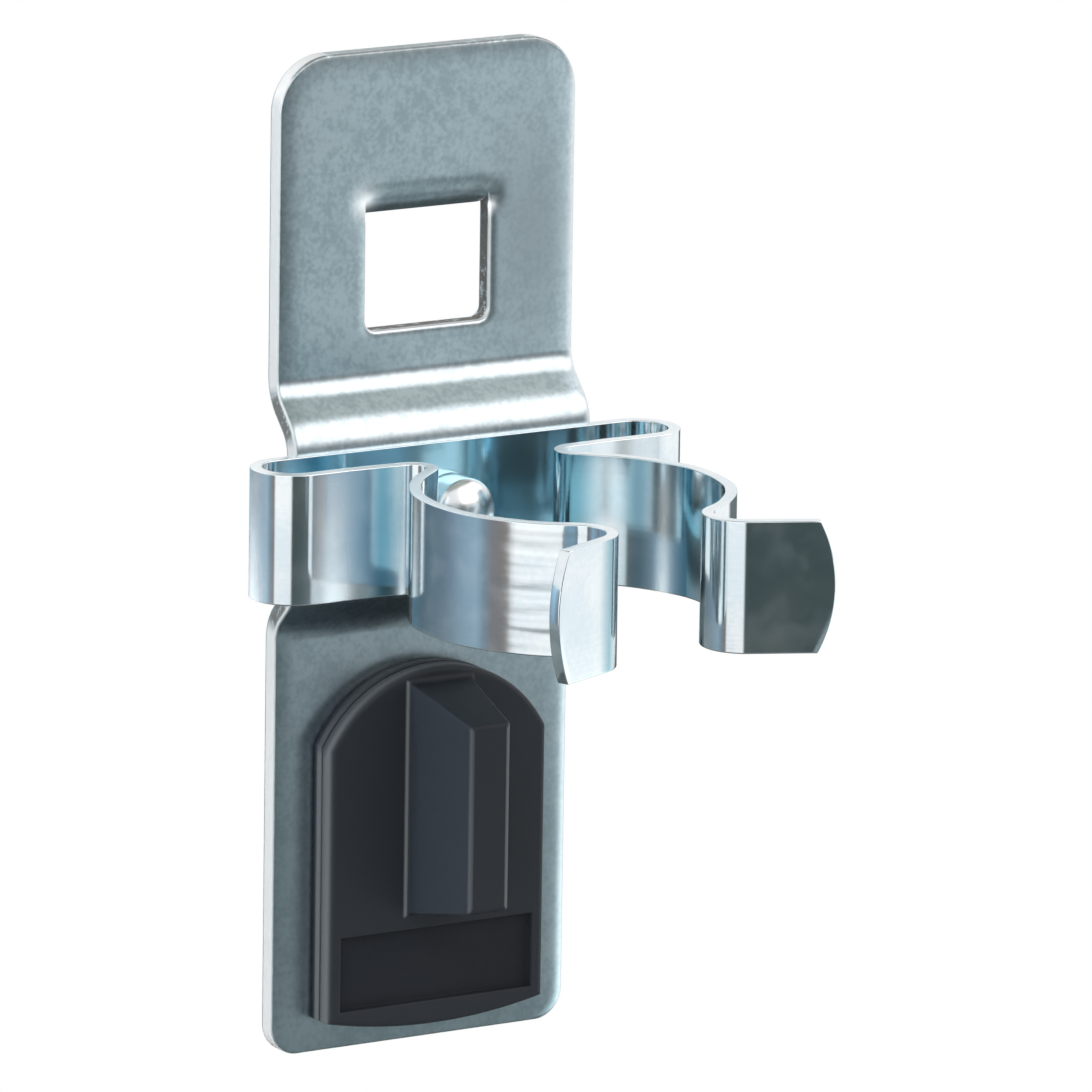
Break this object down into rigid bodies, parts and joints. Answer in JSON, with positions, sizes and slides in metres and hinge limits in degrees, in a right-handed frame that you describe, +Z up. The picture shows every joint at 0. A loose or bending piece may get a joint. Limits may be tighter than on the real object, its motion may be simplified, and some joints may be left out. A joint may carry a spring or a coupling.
{
  "type": "tool clamp",
  "caption": "Tool clamp for a square-holed panel: a stamped plate hooks into the panel, a black plug locks it, and a riveted spring strip grips a round tool.",
  "frame": {"origin": "centre of the upper panel hole, in the plane of the panel's face (the plate's rear face)", "axes": "+X to the right as seen from the front, +Y into the panel, +Z up along the plate"},
  "size_m": [0.034, 0.045, 0.072],
  "materials": {
    "plate_zinc": "satin zinc plating with a fine speckle",
    "clip_zinc": "bright zinc plating on rolled spring strip",
    "rivet_steel": "bright plated rivet head",
    "plug_plastic": "moulded black plastic, semi-matt"
  },
  "bodies": {
    "root": {"back_plate": "plate_zinc", "spring_clip": "clip_zinc", "clip_rivet": "rivet_steel", "lock_plug": "plug_plastic"}
  },
  "joints": []
}
